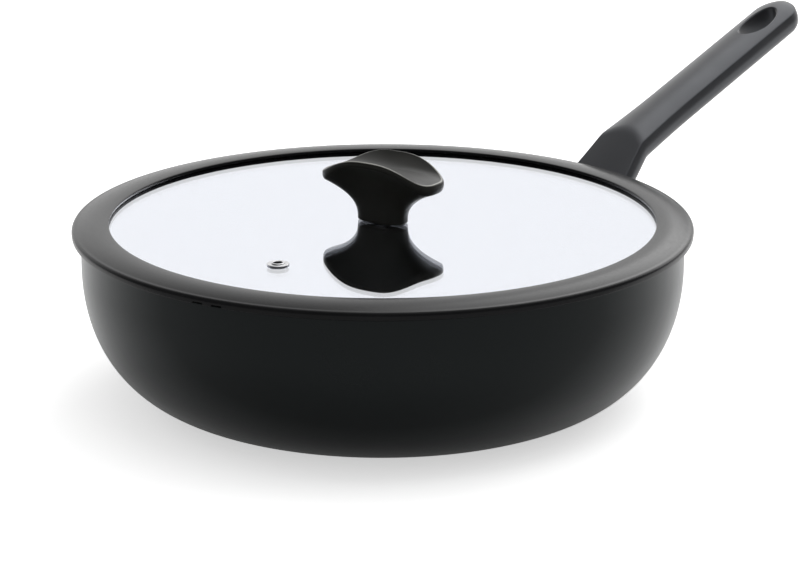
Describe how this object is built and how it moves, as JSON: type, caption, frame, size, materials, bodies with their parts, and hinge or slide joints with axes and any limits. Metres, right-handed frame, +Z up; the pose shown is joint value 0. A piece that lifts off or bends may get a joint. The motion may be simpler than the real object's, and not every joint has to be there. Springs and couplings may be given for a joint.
{
  "type": "lidded wok",
  "caption": "Deep round-bellied wok with a long rising handle, and a flat glass lid with a silicone rim, a saddle-shaped knob and a steam vent.",
  "frame": {"origin": "centre of the base's underside, on the table or hob", "axes": "+Z up through the middle of the pan and lid, +X along the handle, +Y to the left seen from the pan towards the handle's end"},
  "size_m": [0.47, 0.296, 0.1424],
  "materials": {
    "black_coated_aluminium": "matt black non-stick coating over forged aluminium",
    "induction_steel": "turned magnetic steel",
    "bracket_aluminium": "bare cast aluminium",
    "soft_touch_polymer": "soft-touch coated, satin black",
    "zinc_plated_steel": "bright zinc plated",
    "tempered_glass": "clear, tempered, polished",
    "black_silicone": "matt moulded silicone",
    "black_phenolic": "satin moulded phenolic",
    "brass": "turned brass",
    "clear_silicone": "translucent moulded silicone",
    "stainless_steel": "plain stainless steel",
    "polished_stainless_steel": "polished stainless steel",
    "vent_silicone": "matt moulded silicone"
  },
  "bodies": {
    "wok": {"wok_body": "black_coated_aluminium", "induction_plate": "induction_steel", "handle_bracket": "bracket_aluminium", "handle_grip": "soft_touch_polymer", "handle_screw": "zinc_plated_steel", "handle_washer": "zinc_plated_steel"},
    "lid": {"lid_glass": "tempered_glass", "silicone_rim": "black_silicone", "lid_knob": "black_phenolic", "knob_insert": "brass", "knob_gasket": "clear_silicone", "knob_bush": "clear_silicone", "knob_washer": "stainless_steel", "knob_screw": "stainless_steel", "vent_eyelet": "polished_stainless_steel", "vent_seal": "vent_silicone", "vent_ring": "polished_stainless_steel"}
  },
  "joints": [
    {"name": "lid_lift", "type": "slide", "parent": "wok", "child": "lid", "axis": [0, 0, 1], "range_m": [0, 0.1]}
  ]
}
